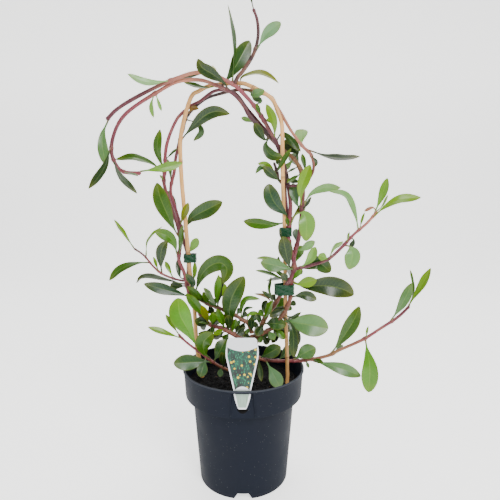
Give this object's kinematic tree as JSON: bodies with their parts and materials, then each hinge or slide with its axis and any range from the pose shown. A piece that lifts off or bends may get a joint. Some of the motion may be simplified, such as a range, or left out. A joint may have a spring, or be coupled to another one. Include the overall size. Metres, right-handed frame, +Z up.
{
  "type": "potted guinea flower vine",
  "caption": "Climbing guinea flower vine in a dark nursery pot, trained over a bamboo hoop, with a blank plant label.",
  "frame": {"origin": "middle of the pot's underside, on the surface that it stands on", "axes": "+Z up along the pot's axis, -Y towards the viewer and the label, +X to the viewer's right"},
  "size_m": [0.5203, 0.2, 0.7814],
  "materials": {
    "pot_plastic": "matte",
    "potting_mix": "matte",
    "label_card": "satin",
    "bamboo": "satin",
    "tie_tape": "satin",
    "stem_skin": "satin",
    "leaf_green": "satin"
  },
  "bodies": {
    "root": {"bamboo_hoop": "bamboo", "crown_stem": "stem_skin", "leaf_left_inner_04": "leaf_green", "leaf_left_inner_07": "leaf_green", "leaf_left_inner_17": "leaf_green", "leaf_left_inner_23": "leaf_green", "leaf_left_outer_05": "leaf_green", "leaf_left_outer_07": "leaf_green", "leaf_left_outer_10": "leaf_green", "leaf_left_outer_11": "leaf_green", "leaf_left_outer_12": "leaf_green", "leaf_right_back_01": "leaf_green", "leaf_right_back_05": "leaf_green", "leaf_right_back_07": "leaf_green", "leaf_right_back_09": "leaf_green", "leaf_right_back_14": "leaf_green", "leaf_right_back_16": "leaf_green", "leaf_right_back_26": "leaf_green", "leaf_right_back_30": "leaf_green", "leaf_right_back_32": "leaf_green", "leaf_right_back_34": "leaf_green", "leaf_right_front_01": "leaf_green", "leaf_right_front_10": "leaf_green", "leaf_right_front_11": "leaf_green", "leaf_right_front_14": "leaf_green", "leaf_right_front_16": "leaf_green", "leaf_right_short_01": "leaf_green", "leaf_right_short_02": "leaf_green", "leaf_runner_left_lower_01": "leaf_green", "leaf_runner_left_lower_04": "leaf_green", "leaf_runner_left_lower_05": "leaf_green", "leaf_runner_left_lower_06": "leaf_green", "leaf_runner_left_upper_01": "leaf_green", "leaf_runner_right_lower_03": "leaf_green", "leaf_runner_right_lower_04": "leaf_green", "leaf_runner_right_lower_07": "leaf_green", "leaf_runner_right_lower_09": "leaf_green", "leaf_runner_right_lower_10": "leaf_green", "leaf_runner_right_lower_13": "leaf_green", "leaf_runner_right_lower_14": "leaf_green", "leaf_runner_right_upper_06": "leaf_green", "leaf_runner_right_upper_08": "leaf_green", "leaf_runner_right_upper_09": "leaf_green", "leaf_top_shoot_01": "leaf_green", "plant_label": "label_card", "pot": "pot_plastic", "potting_mix": "potting_mix", "runner_left_lower": "stem_skin", "runner_left_upper": "stem_skin", "runner_right_lower": "stem_skin", "runner_right_upper": "stem_skin", "stem_left_inner": "stem_skin", "stem_left_outer": "stem_skin", "stem_right_back": "stem_skin", "stem_right_front": "stem_skin", "stem_right_short": "stem_skin", "tie_left": "tie_tape", "tie_right_lower": "tie_tape", "tie_right_upper": "tie_tape", "top_shoot": "stem_skin"}
  },
  "joints": []
}
